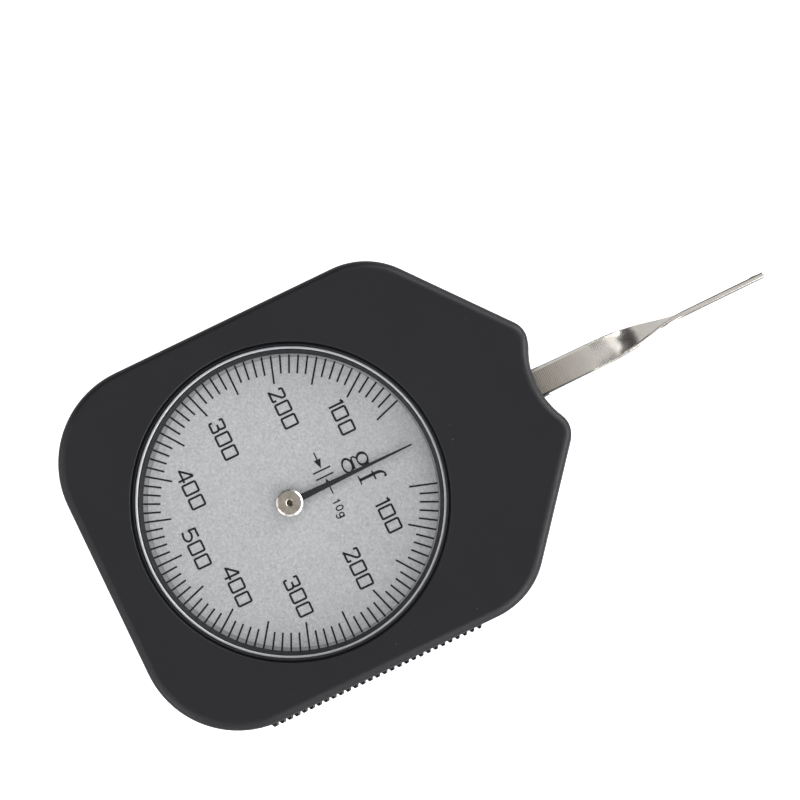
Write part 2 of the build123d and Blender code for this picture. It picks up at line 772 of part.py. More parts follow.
with BuildPart() as lever_screws:
    with BuildSketch(Plane.XY.offset(strip_z1 + 0.8)):
        with Locations(*[(0, y) for y in clamp_screw_y]):
            Circle(1.5)
    extrude(amount=0.8)
    chamfer(lever_screws.edges().group_by(Axis.Z)[-1], 0.15)
    with BuildSketch(Plane.XY.offset(strip_z1 + 1.2)):
        with Locations(*[(0, y) for y in clamp_screw_y]):
            Rectangle(3.2, 0.4)
    extrude(amount=0.5, mode=Mode.SUBTRACT)
    with BuildSketch(Plane.XY.offset(9.4)):
        with Locations(*[(0, y) for y in clamp_screw_y]):
            Circle(0.8)
    extrude(amount=strip_z1 + 0.8 - 9.4)
lever_screws.part.label = "lever_screws"
export_step(lever_screws.part, "parts/lever_screws.step")

# feeler lever: flat strip, quarter twist, then a blade on edge
twist = [
    (54.3, 0.0), (55.1, 2.5), (55.9, 6.0), (56.7, 9.5), (57.5, 13.0), (58.3, 17.0), (59.1, 22.5),
    (59.9, 29.0), (60.7, 34.5), (61.5, 39.5), (62.3, 45.0), (63.1, 50.5), (63.9, 56.5), (64.7, 62.0),
    (65.5, 67.5), (66.3, 72.3), (67.1, 77.0), (67.9, 81.0), (68.7, 85.0), (69.5, 88.5), (70.3, 90.0),
]
strip_mid = strip_z0 + strip_t / 2
flat_run = [(33.4, strip_root_w), (44.8, strip_root_w), (51.8, strip_w), (twist[0][0], strip_w)]
sway = [(33.4, strip_root_x), (twist[0][0], strip_root_x), (twist[-1][0], -0.10), (lever_end_y, -0.18)]
tip_pip_y = lever_end_y - 1.75  # raised pip on the left face, near the tip
pip_r = 1.9


def strip_x(y):
    """Middle of the strip at y."""
    for (y0, x0), (y1, x1) in zip(sway, sway[1:]):
        if y <= y1:
            return x0 + (x1 - x0) * (y - y0) / (y1 - y0)
    return sway[-1][1]


def strip_plane(y, deg):
    """Plane of the strip's section at y, turned about the strip's own long axis."""
    a = math.radians(deg)
    return Plane(origin=(strip_x(y), y, strip_mid), x_dir=(math.cos(a), 0, math.sin(a)), z_dir=(0, 1, 0))


def pip_rise(depth):
    """Half width of the pip's round top at a depth below its highest point."""
    return math.sqrt(2 * pip_r * depth - depth**2)


pip_x = strip_x(tip_pip_y) - strip_t / 2

with BuildPart() as feeler_lever:
    for (y0, w0), (y1, w1) in zip(flat_run, flat_run[1:]):
        with BuildSketch(strip_plane(y0, 0)):
            RectangleRounded(w0, strip_t, strip_edge_r)
        with BuildSketch(strip_plane(y1, 0)):
            RectangleRounded(w1, strip_t, strip_edge_r)
        loft(ruled=True)
    for y, deg in twist:
        with BuildSketch(strip_plane(y, deg)):
            RectangleRounded(strip_w, strip_t, strip_edge_r)
    loft()
    for y in (twist[-1][0], lever_end_y - 0.2):
        with BuildSketch(strip_plane(y, 90)):
            RectangleRounded(strip_w, strip_t, strip_edge_r)
    loft(ruled=True)
    with BuildSketch(strip_plane(lever_end_y - 0.2, 90)):
        RectangleRounded(strip_w, strip_t, strip_edge_r)
    with BuildSketch(strip_plane(lever_end_y, 90)):
        RectangleRounded(strip_w - 0.24, strip_t - 0.24, strip_edge_r - 0.1)
    loft(ruled=True)
    with BuildSketch(Plane.XY.offset(strip_mid)):
        with BuildLine():
            ThreePointArc(
                (pip_x + 0.15, tip_pip_y + pip_rise(0.35)), (pip_x - 0.11, tip_pip_y + pip_rise(0.09)),
                (pip_x - 0.2, tip_pip_y),
            )
            Polyline(
                (pip_x - 0.2, tip_pip_y), (pip_x + 0.15, tip_pip_y),
                (pip_x + 0.15, tip_pip_y + pip_rise(0.35)),
            )
        make_face()
    revolve(axis=Axis((0, tip_pip_y, strip_mid), (1, 0, 0)))
    with BuildSketch(Plane.XY.offset(strip_z0)):
        with Locations(*[(0, y) for y in clamp_screw_y]):
            Circle(0.8)
    extrude(amount=strip_t, mode=Mode.SUBTRACT)
feeler_lever.part.label = "feeler_lever"
export_step(feeler_lever.part, "parts/feeler_lever.step")

print("written", len(os.listdir("parts")), "parts")
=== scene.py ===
import math

import bmesh
import bpy
from mathutils import Matrix, Vector


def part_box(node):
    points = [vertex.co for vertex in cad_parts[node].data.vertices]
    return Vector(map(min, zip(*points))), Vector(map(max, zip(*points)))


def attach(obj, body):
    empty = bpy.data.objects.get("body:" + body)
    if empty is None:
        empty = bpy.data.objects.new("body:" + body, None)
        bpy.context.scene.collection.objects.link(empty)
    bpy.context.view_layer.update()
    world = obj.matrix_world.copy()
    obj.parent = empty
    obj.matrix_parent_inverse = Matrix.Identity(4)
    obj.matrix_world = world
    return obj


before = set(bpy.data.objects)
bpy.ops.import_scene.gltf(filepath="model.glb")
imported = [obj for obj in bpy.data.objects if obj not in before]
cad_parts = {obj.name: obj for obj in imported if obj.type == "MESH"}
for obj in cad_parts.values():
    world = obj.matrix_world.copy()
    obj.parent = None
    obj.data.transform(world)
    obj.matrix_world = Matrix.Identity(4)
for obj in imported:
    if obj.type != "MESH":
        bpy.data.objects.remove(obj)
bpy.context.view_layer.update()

MM = 0.001

# ---------------------------------------------------------------- view
# Directions of the photograph's right and up edges in the gauge's own frame.
TURN = math.radians(25.68)
IMG_RIGHT = Vector((math.sin(TURN), math.cos(TURN), 0.0))
IMG_UP = Vector((-math.cos(TURN), math.sin(TURN), 0.0))
CAM_DISTANCE = 0.9
CAM_TARGET = Vector((-7.10 * MM, 23.30 * MM, 18.0 * MM))
CAM_TILT_X = math.radians(2.2)
CAM_TILT_Y = math.radians(0.87)
CAM_ROLL = math.radians(0.05)
PX_PER_MM = 6.2
IMAGE_PX = 800.0


# ================================================================ node helpers
class Nodes:
    """Short calls for building a node tree."""

    def __init__(self, tree):
        self.t = tree
        self.n = tree.nodes
        self.l = tree.links

    def new(self, kind, **values):
        node = self.n.new(kind)
        for key, value in values.items():
            setattr(node, key, value)
        return node

    def link(self, a, b):
        self.l.new(a, b)

    def put(self, socket, value):
        if isinstance(value, bpy.types.NodeSocket):
            self.l.new(value, socket)
        else:
            socket.default_value = value

    def math(self, op, a, b=None, clamp=False):
        node = self.new("ShaderNodeMath", operation=op, use_clamp=clamp)
        self.put(node.inputs[0], a)
        if b is not None:
            self.put(node.inputs[1], b)
        return node.outputs[0]

    def ramp(self, fac, stops, interpolation="LINEAR"):
        node = self.new("ShaderNodeValToRGB")
        node.color_ramp.interpolation = interpolation
        els = node.color_ramp.elements
        while len(els) < len(stops):
            els.new(0.5)
        for el, (pos, col) in zip(els, stops):
            el.position = pos
            el.color = col if len(col) == 4 else (*col, 1.0)
        self.put(node.inputs["Fac"], fac)
        return node.outputs["Color"]

    def grey(self, fac, lo, hi, a=0.0, b=1.0):
        """Maps fac from a..b to lo..hi."""
        node = self.new("ShaderNodeMapRange")
        node.clamp = True
        self.put(node.inputs["Value"], fac)
        node.inputs["From Min"].default_value = a
        node.inputs["From Max"].default_value = b
        node.inputs["To Min"].default_value = lo
        node.inputs["To Max"].default_value = hi
        return node.outputs["Result"]

    def coords(self, scale=(1.0, 1.0, 1.0), rotation=(0.0, 0.0, 0.0), location=(0.0, 0.0, 0.0)):
        """The object's own coordinates in millimetres, scaled."""
        tc = self.new("ShaderNodeTexCoord")
        mp = self.new("ShaderNodeMapping")
        mp.inputs["Scale"].default_value = [s * 1000.0 for s in scale]
        mp.inputs["Rotation"].default_value = rotation
        mp.inputs["Location"].default_value = location
        self.link(tc.outputs["Object"], mp.inputs["Vector"])
        return mp.outputs["Vector"]

    def noise(self, vector, scale=1.0, detail=2.0, rough=0.5, distortion=0.0):
        node = self.new("ShaderNodeTexNoise")
        self.link(vector, node.inputs["Vector"])
        node.inputs["Scale"].default_value = scale
        node.inputs["Detail"].default_value = detail
        node.inputs["Roughness"].default_value = rough
        node.inputs["Distortion"].default_value = distortion
        return node.outputs["Fac"]

    def voronoi(self, vector, scale=1.0, feature="F1"):
        node = self.new("ShaderNodeTexVoronoi", feature=feature)
        self.link(vector, node.inputs["Vector"])
        node.inputs["Scale"].default_value = scale
        return node

    def mix(self, fac, a, b, blend="MIX"):
        node = self.new("ShaderNodeMix", data_type="RGBA", blend_type=blend)
        self.put(node.inputs["Factor"], fac)
        self.put(node.inputs[6], a if isinstance(a, bpy.types.NodeSocket) else (*a, 1.0))
        self.put(node.inputs[7], b if isinstance(b, bpy.types.NodeSocket) else (*b, 1.0))
        return node.outputs[2]

    def bump(self, height, strength=0.3, distance=0.00005, normal=None):
        node = self.new("ShaderNodeBump")
        node.inputs["Strength"].default_value = strength
        node.inputs["Distance"].default_value = distance
        self.link(height, node.inputs["Height"])
        if normal is not None:
            self.link(normal, node.inputs["Normal"])
        return node.outputs["Normal"]

    def principled(self, **values):
        node = self.new("ShaderNodeBsdfPrincipled")
        for key, value in values.items():
            self.put(node.inputs[key.replace("_", " ")], value)
        return node

    def out(self, shader):
        node = self.new("ShaderNodeOutputMaterial")
        self.link(shader, node.inputs["Surface"])
        return node


def material(name):
    m = bpy.data.materials.new(name)
    m.use_nodes = True
    m.node_tree.nodes.clear()
    return m, Nodes(m.node_tree)


# ================================================================ materials
WINDOW_Y = 0.28  # mm, the window's middle
RIM_START = 25.20  # mm, where the window's rim begins
SHADOW_BAND_R = 23.55  # mm, inner edge of the painted shadow band on the dial's margin


def mat_case():
    """Matte moulded black plastic: fine spark grain, faint mottling, a little dust."""
    m, k = material("case_black_plastic")
    mm = k.coords()
    grain = k.noise(mm, scale=9.0, detail=3.0, rough=0.6)
    cloud = k.noise(mm, scale=0.06, detail=4.0, rough=0.55)
    fleck = k.noise(mm, scale=2.6, detail=2.0)
    base = k.ramp(cloud, [(0.3, (0.0055, 0.0055, 0.0080)), (0.7, (0.0075, 0.0075, 0.0102))])
    base = k.mix(k.grey(grain, 0.0, 0.35, 0.35, 0.75), base, (0.012, 0.012, 0.015))
    # dust: sparse small pale specks
    cells = k.voronoi(mm, scale=0.42)
    near = k.grey(cells.outputs["Distance"], 1.0, 0.0, 0.016, 0.034)
    split = k.new("ShaderNodeSeparateColor")
    k.link(cells.outputs["Color"], split.inputs["Color"])
    some = k.math("GREATER_THAN", split.outputs["Red"], 0.76)
    size = k.grey(split.outputs["Green"], 0.25, 1.0)
    dust = k.math("MULTIPLY", k.math("MULTIPLY", near, some), size)
    fine = k.voronoi(mm, scale=1.4)
    near2 = k.grey(fine.outputs["Distance"], 1.0, 0.0, 0.02, 0.05)
    split2 = k.new("ShaderNodeSeparateColor")
    k.link(fine.outputs["Color"], split2.inputs["Color"])
    dust2 = k.math("MULTIPLY", near2, k.math("GREATER_THAN", split2.outputs["Red"], 0.93))
    dust2 = k.math("MULTIPLY", dust2, 0.35)
    both = k.math("MAXIMUM", dust, dust2)
    col = k.mix(both, base, (0.24, 0.24, 0.23))
    rough = k.grey(fleck, 0.38, 0.46, 0.3, 0.7)
    normal = k.bump(grain, strength=0.22, distance=0.00002)
    normal = k.bump(both, strength=0.4, distance=0.00002, normal=normal)
    p = k.principled(Base_Color=col, Roughness=rough, Normal=normal)
    p.inputs["IOR"].default_value = 1.46
    p.inputs["Specular IOR Level"].default_value = 0.42
    k.out(p.outputs["BSDF"])
    return m


def mat_rehaut():
    """Blackened sloping ring round the dial, lightly turned."""
    m, k = material("ring_matte_black")
    mm = k.coords()
    fine = k.noise(mm, scale=7.0, detail=3.0)
    turned = k.noise(k.coords(scale=(0.05, 0.05, 14.0)), scale=1.0, detail=2.0)
    both = k.math("ADD", k.math("MULTIPLY", fine, 0.5), k.math("MULTIPLY", turned, 0.5))
    col = k.ramp(both, [(0.35, (0.005, 0.005, 0.006)), (0.65, (0.012, 0.012, 0.013))])
    rough = k.grey(fine, 0.38, 0.5, 0.3, 0.7)
    p = k.principled(Base_Color=col, Roughness=rough, Normal=k.bump(both, 0.3, 0.00002))
    p.inputs["Specular IOR Level"].default_value = 0.36
    k.out(p.outputs["BSDF"])
    return m


def mat_window():
    """Clear window: light passes straight through, with a weak polished reflection off its outer skin."""
    m, k = material("window_clear_glass")
    mm = k.coords()
    haze = k.noise(mm, scale=0.12, detail=3.0)
    tint = k.ramp(haze, [(0.3, (0.985, 0.988, 0.990)), (0.7, (0.992, 0.994, 0.996))])
    clear = k.new("ShaderNodeBsdfTransparent")
    k.link(tint, clear.inputs["Color"])
    gloss = k.new("ShaderNodeBsdfGlossy")
    gloss.inputs["Color"].default_value = (0.95, 0.95, 0.95, 1.0)
    k.link(k.grey(haze, 0.02, 0.06, 0.3, 0.7), gloss.inputs["Roughness"])
    fres = k.new("ShaderNodeFresnel")
    fres.inputs["IOR"].default_value = 1.49
    geo = k.new("ShaderNodeNewGeometry")
    outer = k.math("SUBTRACT", 1.0, geo.outputs["Backfacing"])
    pane = k.new("ShaderNodeMixShader")
    k.link(k.math("MULTIPLY", k.math("MULTIPLY", fres.outputs["Fac"], outer), 0.3), pane.inputs["Fac"])
    k.link(clear.outputs["BSDF"], pane.inputs[1])
    k.link(gloss.outputs["BSDF"], pane.inputs[2])
    # painted shade: where the window's rim sits in the bezel groove it is drawn as dark opaque plastic, standing in for
    # the groove's shade
    sep = k.new("ShaderNodeSeparateXYZ")
    k.link(k.coords(location=(0.0, -WINDOW_Y, 0.0)), sep.inputs[0])
    r2 = k.math("ADD", k.math("MULTIPLY", sep.outputs[0], sep.outputs[0]), k.math("MULTIPLY", sep.outputs[1], sep.outputs[1]))
    groove_shade_mask = k.grey(k.math("SQRT", r2), 0.0, 1.0, RIM_START, RIM_START + 0.06)
    grain = k.noise(mm, scale=9.0, detail=3.0)
    dark = k.principled(
        Base_Color=k.ramp(grain, [(0.3, (0.020, 0.020, 0.024)), (0.7, (0.034, 0.034, 0.040))]),
        Roughness=k.grey(grain, 0.40, 0.50, 0.3, 0.7), Normal=k.bump(grain, 0.2, 0.00001),
    )
    mix = k.new("ShaderNodeMixShader")
    k.link(groove_shade_mask, mix.inputs["Fac"])
    k.link(pane.outputs["Shader"], mix.inputs[1])
    k.link(dark.outputs["BSDF"], mix.inputs[2])
    k.out(mix.outputs["Shader"])
    return m


def mat_bright_ring():
    """Bright ring under the window's rim: satin metal with faint turning marks."""
    m, k = material("ring_bright_metal")
    mm = k.coords()
    n = k.noise(mm, scale=1.3, detail=3.0)
    fine = k.noise(k.coords(scale=(1.0, 1.0, 30.0)), scale=3.0, detail=2.0)
    col = k.ramp(n, [(0.3, (0.60, 0.61, 0.63)), (0.7, (0.70, 0.71, 0.73))])
    p = k.principled(
        Base_Color=col, Roughness=k.grey(n, 0.42, 0.54, 0.3, 0.7), Normal=k.bump(fine, 0.12, 0.00001)
    )
    p.inputs["Metallic"].default_value = 0.45
    k.out(p.outputs["BSDF"])
    return m


def mat_dial():
    """Silvered dial: satin lacquer with a fine metallic grain and faint clouding."""
    m, k = material("dial_satin_silver")
    mm = k.coords()
    grain = k.noise(mm, scale=2.6, detail=3.0, rough=0.75)
    speck = k.noise(mm, scale=4.4, detail=1.0)
    cloud = k.noise(mm, scale=0.16, detail=3.0)
    base = k.ramp(grain, [(0.30, (0.340, 0.345, 0.349)), (0.5, (0.448, 0.452, 0.457)), (0.70, (0.562, 0.566, 0.571))])
    base = k.mix(k.grey(cloud, 0.0, 0.16, 0.35, 0.65), base, (0.43, 0.435, 0.44))
    base = k.mix(k.grey(speck, 0.0, 0.5, 0.66, 0.8), base, (0.78, 0.78, 0.78))
    # painted shadow on the dial's margin, where the window's edge shades the dial: a slightly darker off-centre band
    # with a fine darker line at its inner edge
    sep = k.new("ShaderNodeSeparateXYZ")
    k.link(k.coords(location=(-0.07, -0.49, 0.0)), sep.inputs[0])
    r2 = k.math("ADD", k.math("MULTIPLY", sep.outputs[0], sep.outputs[0]), k.math("MULTIPLY", sep.outputs[1], sep.outputs[1]))
    r = k.math("SQRT", r2)
    shadow_band = k.grey(r, 0.0, 0.36, SHADOW_BAND_R, SHADOW_BAND_R + 0.05)
    line = k.math("MULTIPLY", k.grey(r, 0.0, 1.0, SHADOW_BAND_R - 0.08, SHADOW_BAND_R), k.grey(r, 1.0, 0.0, SHADOW_BAND_R + 0.08, SHADOW_BAND_R + 0.16))
    shade = k.math("MAXIMUM", shadow_band, k.math("MULTIPLY", line, 0.55))
    base = k.mix(shade, base, (0.030, 0.026, 0.036))
    both = k.math("ADD", grain, k.math("MULTIPLY", speck, 0.4))
    p = k.principled(
        Base_Color=base, Roughness=k.grey(grain, 0.42, 0.56, 0.3, 0.7), Normal=k.bump(both, 0.25, 0.00001)
    )
    p.inputs["Metallic"].default_value = 0.12
    k.out(p.outputs["BSDF"])
    return m


def mat_print():
    """Printing ink on the dial, near black, a little uneven."""
    m, k = material("dial_print_ink")
    mm = k.coords()
    n = k.noise(mm, scale=5.0, detail=3.0)
    col = k.ramp(n, [(0.3, (0.005, 0.005, 0.006)), (0.7, (0.011, 0.011, 0.012))])
    p = k.principled(Base_Color=col, Roughness=k.grey(n, 0.5, 0.65, 0.3, 0.7), Normal=k.bump(n, 0.2, 0.00001))
    p.inputs["Specular IOR Level"].default_value = 0.22
    k.out(p.outputs["BSDF"])
    return m


def mat_pointer():
    """Pointer: charcoal satin lacquer on sheet metal."""
    m, k = material("pointer_charcoal")
    mm = k.coords()
    n = k.noise(mm, scale=4.0, detail=3.0)
    along = k.noise(k.coords(scale=(9.0, 0.6, 1.0)), scale=1.0, detail=2.0)
    col = k.ramp(n, [(0.3, (0.008, 0.008, 0.010)), (0.7, (0.018, 0.018, 0.021))])
    p = k.principled(
        Base_Color=col, Roughness=k.grey(along, 0.40, 0.54, 0.3, 0.7), Normal=k.bump(along, 0.15, 0.00001)
    )
    p.inputs["Specular IOR Level"].default_value = 0.25
    k.out(p.outputs["BSDF"])
    return m


def mat_hub():
    """Pointer hub: turned nickel, warm, with faint stains."""
    m, k = material("hub_turned_nickel")
    mm = k.coords()
    stain = k.noise(mm, scale=0.9, detail=4.0, rough=0.6)
    dots = k.noise(mm, scale=4.0, detail=2.0)
    sep = k.new("ShaderNodeSeparateXYZ")
    k.link(mm, sep.inputs[0])
    r2 = k.math("ADD", k.math("MULTIPLY", sep.outputs[0], sep.outputs[0]), k.math("MULTIPLY", sep.outputs[1], sep.outputs[1]))
    r = k.math("SQRT", r2)
    rings = k.math("SINE", k.math("MULTIPLY", r, 38.0))
    col = k.ramp(stain, [(0.3, (0.37, 0.325, 0.265)), (0.5, (0.45, 0.405, 0.345)), (0.72, (0.53, 0.485, 0.42))])
    col = k.mix(k.grey(rings, 0.0, 0.12, -1.0, 1.0), col, (0.36, 0.31, 0.25))
    col = k.mix(k.grey(dots, 0.0, 0.5, 0.60, 0.76), col, (0.20, 0.155, 0.11))
    # lighter colour towards the outer edge, from about r 1.9 mm outward
    col = k.mix(k.grey(r, 0.0, 1.0, 1.86, 1.98), col, (0.80, 0.76, 0.70))
    normal = k.bump(rings, 0.12, 0.000003)
    p = k.principled(Base_Color=col, Roughness=k.grey(stain, 0.22, 0.34, 0.3, 0.7), Normal=normal)
    p.inputs["Metallic"].default_value = 1.0
    k.out(p.outputs["BSDF"])
    return m


def mat_lever():
    """Feeler lever: nickel over steel, ground across the strip, darker where it leaves the case, where the case wall's
    shade is painted into its colour.
    """
    m, k = material("lever_ground_nickel")
    mm = k.coords()
    sep = k.new("ShaderNodeSeparateXYZ")
    k.link(mm, sep.inputs[0])
    x, y = sep.outputs[0], sep.outputs[1]
    near = k.grey(y, 1.0, 0.0, 46.5, 56.0)  # 1 where the lever leaves the case, 0 past the ground stretch
    # grinding: a regular pitch broken up by noise
    wander = k.noise(k.coords(scale=(0.5, 1.6, 0.5)), scale=1.0, detail=2.0)
    phase = k.math("ADD", k.math("MULTIPLY", y, 19.0), k.math("MULTIPLY", wander, 7.0))
    pitch = k.grey(k.math("SINE", phase), 0.0, 1.0, -1.0, 1.0)
    fine = k.noise(k.coords(scale=(0.35, 7.5, 0.35)), scale=1.0, detail=3.0, rough=0.7)
    lines = k.math("ADD", k.math("MULTIPLY", pitch, 0.55), k.math("MULTIPLY", fine, 0.45))
    tone = k.noise(mm, scale=0.5, detail=3.0)
    spots = k.noise(mm, scale=3.0, detail=2.0)
    col = k.ramp(tone, [(0.3, (0.72, 0.68, 0.63)), (0.7, (0.80, 0.76, 0.71))])
    # grinding lines plus painted shade: near the case the colour turns darker, standing in for the case wall's shade on
    # the lever
    grind_lines_and_root_shade = k.mix(lines, (0.20, 0.165, 0.125), (0.62, 0.575, 0.52))
    col = k.mix(k.math("MULTIPLY", near, 0.92), col, grind_lines_and_root_shade)
    col = k.mix(k.grey(spots, 0.0, 0.55, 0.72, 0.80), col, (0.16, 0.13, 0.10))
    # rolled edges of the flat stretch: a painted highlight along the left edge and painted shade along the right edge
    flat = k.grey(y, 1.0, 0.0, 54.0, 57.0)
    painted_edge_highlight = k.math("MULTIPLY", k.grey(x, 1.0, 0.0, -2.20, -2.08), flat)
    col = k.mix(k.math("MULTIPLY", painted_edge_highlight, 0.9), col, (0.82, 0.78, 0.73))
    shaded = k.math("MULTIPLY", k.grey(x, 0.0, 1.0, 1.66, 1.78), k.grey(y, 1.0, 0.0, 53.0, 55.5))
    col = k.mix(k.math("MULTIPLY", shaded, 0.95), col, (0.055, 0.047, 0.040))
    # painted shade on the corners along the blade's upper edge
    side = k.grey(k.math("ABSOLUTE", k.math("ADD", x, 0.14)), 0.0, 1.0, 0.20, 0.33)
    upper = k.grey(sep.outputs[2], 0.0, 1.0, BLADE_TOP - 0.34, BLADE_TOP - 0.28)
    painted_corner_shade = k.math("MULTIPLY", k.math("MULTIPLY", side, upper), k.grey(y, 0.0, 1.0, 68.0, 71.0))
    col = k.mix(k.math("MULTIPLY", painted_corner_shade, 0.96), col, (0.075, 0.068, 0.062))
    height = k.math("MULTIPLY", lines, k.grey(near, 0.15, 1.0))
    rough = k.math("ADD", k.grey(lines, 0.06, 0.0, 0.3, 0.7), k.grey(y, 0.34, 0.20, 50.0, 58.0))
    p = k.principled(Base_Color=col, Roughness=rough, Normal=k.bump(height, 0.35, 0.00002))
    p.inputs["Metallic"].default_value = 1.0
    k.out(p.outputs["BSDF"])
    return m


def metal(name, dark, light, rough, scale=(1.0, 1.0, 1.0), bump=0.2, stain=(0.25, 0.2, 0.12)):
    """Machined metal with fine lines, tone changes and a little tarnish."""
    m, k = material(name)
    mm = k.coords()
    lines = k.noise(k.coords(scale=scale), scale=3.0, detail=3.0, rough=0.6)
    tone = k.noise(mm, scale=0.35, detail=4.0)
    spots = k.noise(mm, scale=1.6, detail=3.0)
    col = k.ramp(tone, [(0.3, dark), (0.7, light)])
    col = k.mix(k.grey(spots, 0.0, 0.5, 0.60, 0.78), col, stain)
    p = k.principled(
        Base_Color=col, Roughness=k.grey(lines, rough - 0.06, rough + 0.08, 0.3, 0.7), Normal=k.bump(lines, bump, 0.00001)
    )
    p.inputs["Metallic"].default_value = 1.0
    k.out(p.outputs["BSDF"])
    return m


def mat_floor():
    """Plain white sweep: it reads as clean white behind the gauge."""
    m, k = material("floor_white")
    mm = k.coords()
    n = k.noise(mm, scale=0.02, detail=2.0)
    col = k.ramp(n, [(0.3, (0.54, 0.54, 0.54)), (0.7, (0.58, 0.58, 0.58))])
    p = k.principled(Base_Color=col)
    p.inputs["Roughness"].default_value = 0.8
    p.inputs["Emission Color"].default_value = (1.0, 1.0, 1.0, 1.0)
    path = k.new("ShaderNodeLightPath")
    k.link(k.math("MULTIPLY", path.outputs["Is Camera Ray"], FLOOR_GLOW), p.inputs["Emission Strength"])
    k.out(p.outputs["BSDF"])
    return m


FLOOR_GLOW = 1.02
BLADE_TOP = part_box("feeler_lever")[1].z / MM

# ================================================================ finish of the CAD nodes
case = mat_case()
steel = metal("steel_machined", (0.42, 0.42, 0.43), (0.60, 0.60, 0.61), 0.30, (1.0, 1.0, 6.0))
brass = metal("brass_machined", (0.62, 0.47, 0.22), (0.78, 0.62, 0.32), 0.30, (0.4, 5.0, 0.4), 0.15, (0.35, 0.22, 0.08))
spring = metal("spring_steel_tempered", (0.20, 0.22, 0.27), (0.36, 0.38, 0.43), 0.26, (1.0, 1.0, 5.0))
screw = metal("screw_black_oxide", (0.055, 0.055, 0.060), (0.11, 0.11, 0.12), 0.34, (1.0, 1.0, 4.0), 0.25, (0.15, 0.10, 0.06))
browned = metal("steel_browned", (0.050, 0.040, 0.030), (0.13, 0.105, 0.08), 0.32, (1.0, 1.0, 5.0), 0.3, (0.24, 0.18, 0.12))
FINISH = {
    "front_case": case, "rear_case": case, "case_screws": screw,
    "crystal": mat_window(), "crystal_ring": mat_bright_ring(), "dial_ring": mat_rehaut(),
    "dial_plate": mat_dial(), "pointer": mat_pointer(), "pointer_hub": mat_hub(),
    "feeler_lever": mat_lever(),
    "dial_feet": brass, "base_plate": brass, "bridge_plate": brass, "pillars": brass,
    "lever_bushes": brass, "pointer_bushes": brass, "force_spring_stud": brass,
    "hairspring_stud": brass, "pinion": brass, "hairspring_collet": brass, "sector_gear": brass,
    "bridge_screws": steel, "base_screws": steel, "stop_pins": steel, "pointer_arbor": browned,
    "lever_arbor": steel, "force_spring_collet": steel, "sector_screws": steel,
    "lever_holder": steel, "lever_clamp": steel, "lever_screws": steel,
    "force_spring": spring, "hairspring": spring,
}
for name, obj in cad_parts.items():
    obj.data.materials.clear()
    obj.data.materials.append(FINISH[name])


# ================================================================ dial print
DIAL_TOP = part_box("dial_plate")[1].z / MM
INK_Z0, INK_Z1 = DIAL_TOP - 0.010, DIAL_TOP + 0.012


def arc(cx, cy, rx, ry, a0, a1, n=10):
    """Points along an arc, in degrees."""
    return [
        (cx + rx * math.cos(math.radians(a0 + (a1 - a0) * i / n)), cy + ry * math.sin(math.radians(a0 + (a1 - a0) * i / n)))
        for i in range(n + 1)
    ]


def rounded(points, r, closed=False, n=4):
    """A polyline with its corners rounded by radius r."""
    out = []
    count = len(points)
    for i, p in enumerate(points):
        if not closed and i in (0, count - 1):
            out.append(p)
            continue
        a, b = Vector(points[i - 1]), Vector(points[(i + 1) % count])
        v = Vector(p)
        da, db = (a - v), (b - v)
        la, lb = da.length, db.length
        da.normalize(), db.normalize()
        cosang = max(-1.0, min(1.0, da.dot(db)))
        half = math.acos(cosang) / 2
        if math.pi - 2 * half < 0.05:
            out.append(p)
            continue
        cut = min(r / max(math.tan(half), 1e-6), la * 0.49, lb * 0.49)
        s, e = v + da * cut, v + db * cut
        for j in range(n + 1):
            t = j / n
            q = s * (1 - t) ** 2 + v * 2 * t * (1 - t) + e * t**2
            out.append((q.x, q.y))
    return out


def add_stroke(bm, points, width, closed=False, z0=None, z1=None):
    """A printed stroke: a ribbon along the points, with its own thickness. width is one number, or one per point."""
    z0 = INK_Z0 if z0 is None else z0
    z1 = INK_Z1 if z1 is None else z1
    pts = [Vector(p) for p in points]
    n = len(pts)
    widths = width if isinstance(width, list) else [width] * n
    rows = []
    for i, p in enumerate(pts):
        if closed:
            d0, d1 = p - pts[i - 1], pts[(i + 1) % n] - p
        else:
            d0 = p - pts[i - 1] if i > 0 else pts[1] - p
            d1 = pts[i + 1] - p if i < n - 1 else d0
        d0.normalize(), d1.normalize()
        n0, n1 = Vector((-d0.y, d0.x)), Vector((-d1.y, d1.x))
        m = n0 + n1
        if m.length < 1e-6:
            m = n0.copy()
        m.normalize()
        k = widths[i] / 2 / max(0.45, m.dot(n0))
        a, b = p + m * k, p - m * k
        rows.append(
            [
                bm.verts.new((a.x * MM, a.y * MM, z1 * MM)), bm.verts.new((b.x * MM, b.y * MM, z1 * MM)),
                bm.verts.new((b.x * MM, b.y * MM, z0 * MM)), bm.verts.new((a.x * MM, a.y * MM, z0 * MM)),
            ]
        )
    pairs = list(zip(rows, rows[1:]))
    if closed:
        pairs.append((rows[-1], rows[0]))
    for r0, r1 in pairs:
        for j in range(4):
            bm.faces.new((r0[j], r0[(j + 1) % 4], r1[(j + 1) % 4], r1[j]))
    if not closed:
        bm.faces.new(rows[0])
        bm.faces.new(list(reversed(rows[-1])))


def bowl(bm, cx, cy, rx, ry, thin, thick, lean=0.0):
    """A closed oval whose stroke is thick at its sides and thin at top and bottom."""
    pts, widths = [], []
    for i in range(40):
        a = 2 * math.pi * i / 40
        pts.append((cx + rx * math.cos(a), cy + ry * math.sin(a)))
        widths.append(thin + (thick - thin) * abs(math.cos(a - lean)) ** 1.6)
    add_stroke(bm, pts, widths, True)


